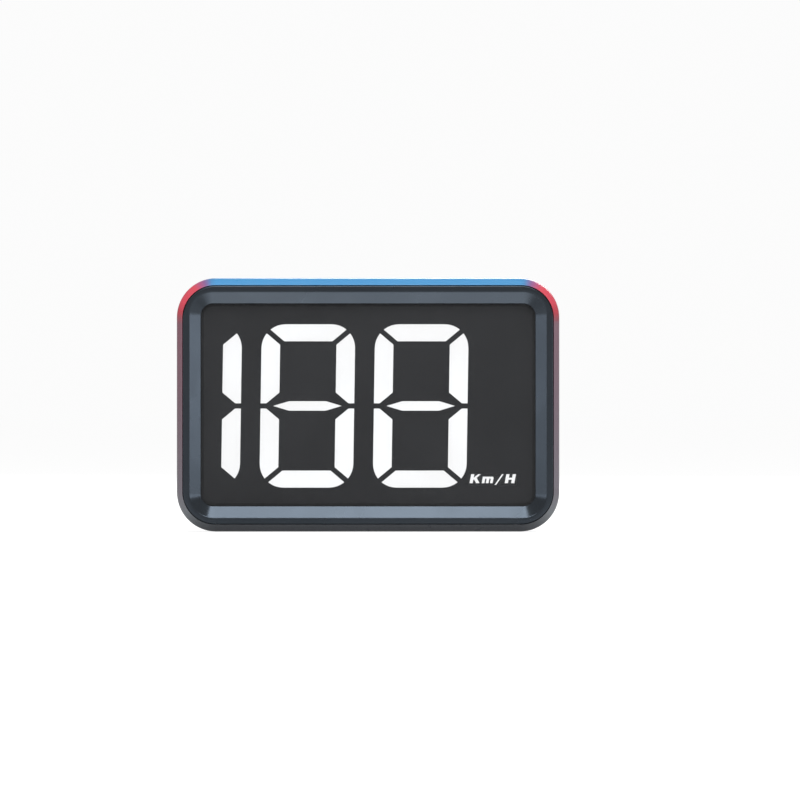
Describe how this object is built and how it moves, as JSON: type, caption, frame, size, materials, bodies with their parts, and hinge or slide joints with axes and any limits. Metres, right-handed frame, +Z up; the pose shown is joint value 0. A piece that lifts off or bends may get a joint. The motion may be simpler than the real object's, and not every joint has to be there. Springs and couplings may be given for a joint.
{
  "type": "solar speed display",
  "caption": "Pocket-size rectangular digital speed display with lit seven-segment digits, a coloured rim, a solar panel on the back and a fold-out adhesive stand.",
  "frame": {"origin": "centre of the bounding box's lower face, on the surface that the case stands on", "axes": "+X along the width, to the right as seen from the front; the display faces -Y; +Z up"},
  "size_m": [0.08, 0.018, 0.053],
  "materials": {
    "case": "moulded dark slate, satin",
    "rim": "lacquered, blue at the top running to red corners and mauve sides",
    "lens": "smoked acrylic, anti-glare",
    "mask": "matte print",
    "lit": "white light diffuser, lit",
    "white_plastic": "moulded",
    "foam": "black adhesive foam",
    "board": "green solder mask",
    "black": "moulded",
    "chip": "moulded epoxy",
    "steel": "nickel-plated",
    "screw": "black oxide",
    "brass": "gold-plated",
    "ceramic": "silvered ceramic patch",
    "silver": "laminated pouch",
    "solar": "monocrystalline cells under a clear laminate",
    "red": "wire insulation",
    "pad": "adhesive pad under its release film",
    "button": "moulded"
  },
  "bodies": {
    "case": {"antenna_cable": "black", "antenna_pad": "foam", "antenna_socket": "brass", "battery": "silver", "battery_connector": "white_plastic", "battery_lead_negative": "black", "battery_lead_positive": "red", "battery_pad": "foam", "board_header": "black", "board_screw_1": "screw", "board_screw_2": "screw", "board_screw_3": "screw", "board_screw_4": "screw", "buzzer": "black", "case_screw_1": "screw", "case_screw_2": "screw", "case_screw_3": "screw", "case_screw_4": "screw", "charger_chip": "chip", "digit_hundreds": "lit", "digit_tens": "lit", "digit_units": "lit", "display_lens": "lens", "display_screw_1": "screw", "display_screw_2": "screw", "display_screw_3": "screw", "display_screw_4": "screw", "front_bezel": "case", "gps_antenna": "ceramic", "gps_receiver": "steel", "hinge_pin_left": "steel", "hinge_pin_right": "steel", "hinge_washer_left": "white_plastic", "hinge_washer_right": "white_plastic", "led_board": "board", "led_driver": "chip", "lens_gasket": "foam", "main_board": "board", "microcontroller": "chip", "mode_switch": "black", "power_switch": "steel", "rear_cover": "case", "reflector_block": "white_plastic", "segment_mask": "mask", "set_switch": "black", "solar_lead_negative": "black", "solar_lead_positive": "red", "solar_panel": "solar", "trim_ring": "rim", "unit_legend": "lit", "usb_socket": "steel", "usb_tongue": "black"},
    "stand": {"stand_foot": "case", "adhesive_pad": "pad"},
    "mode_button": {"mode_button": "button"},
    "set_button": {"set_button": "button"},
    "power_slider": {"power_slider": "button"}
  },
  "joints": [
    {"name": "stand_hinge", "type": "hinge", "parent": "case", "child": "stand", "pos_m": [0, 0.0066, 0.0021], "axis": [1, 0, 0], "range_deg": [-90, 0]},
    {"name": "mode_press", "type": "slide", "parent": "case", "child": "mode_button", "axis": [0, -1, 0], "range_m": [0, 0.00035], "stiffness_N_per_m": 4500},
    {"name": "set_press", "type": "slide", "parent": "case", "child": "set_button", "axis": [0, -1, 0], "range_m": [0, 0.00035], "stiffness_N_per_m": 4500},
    {"name": "power_slide", "type": "slide", "parent": "case", "child": "power_slider", "axis": [1, 0, 0], "range_m": [0, 0.002]}
  ]
}
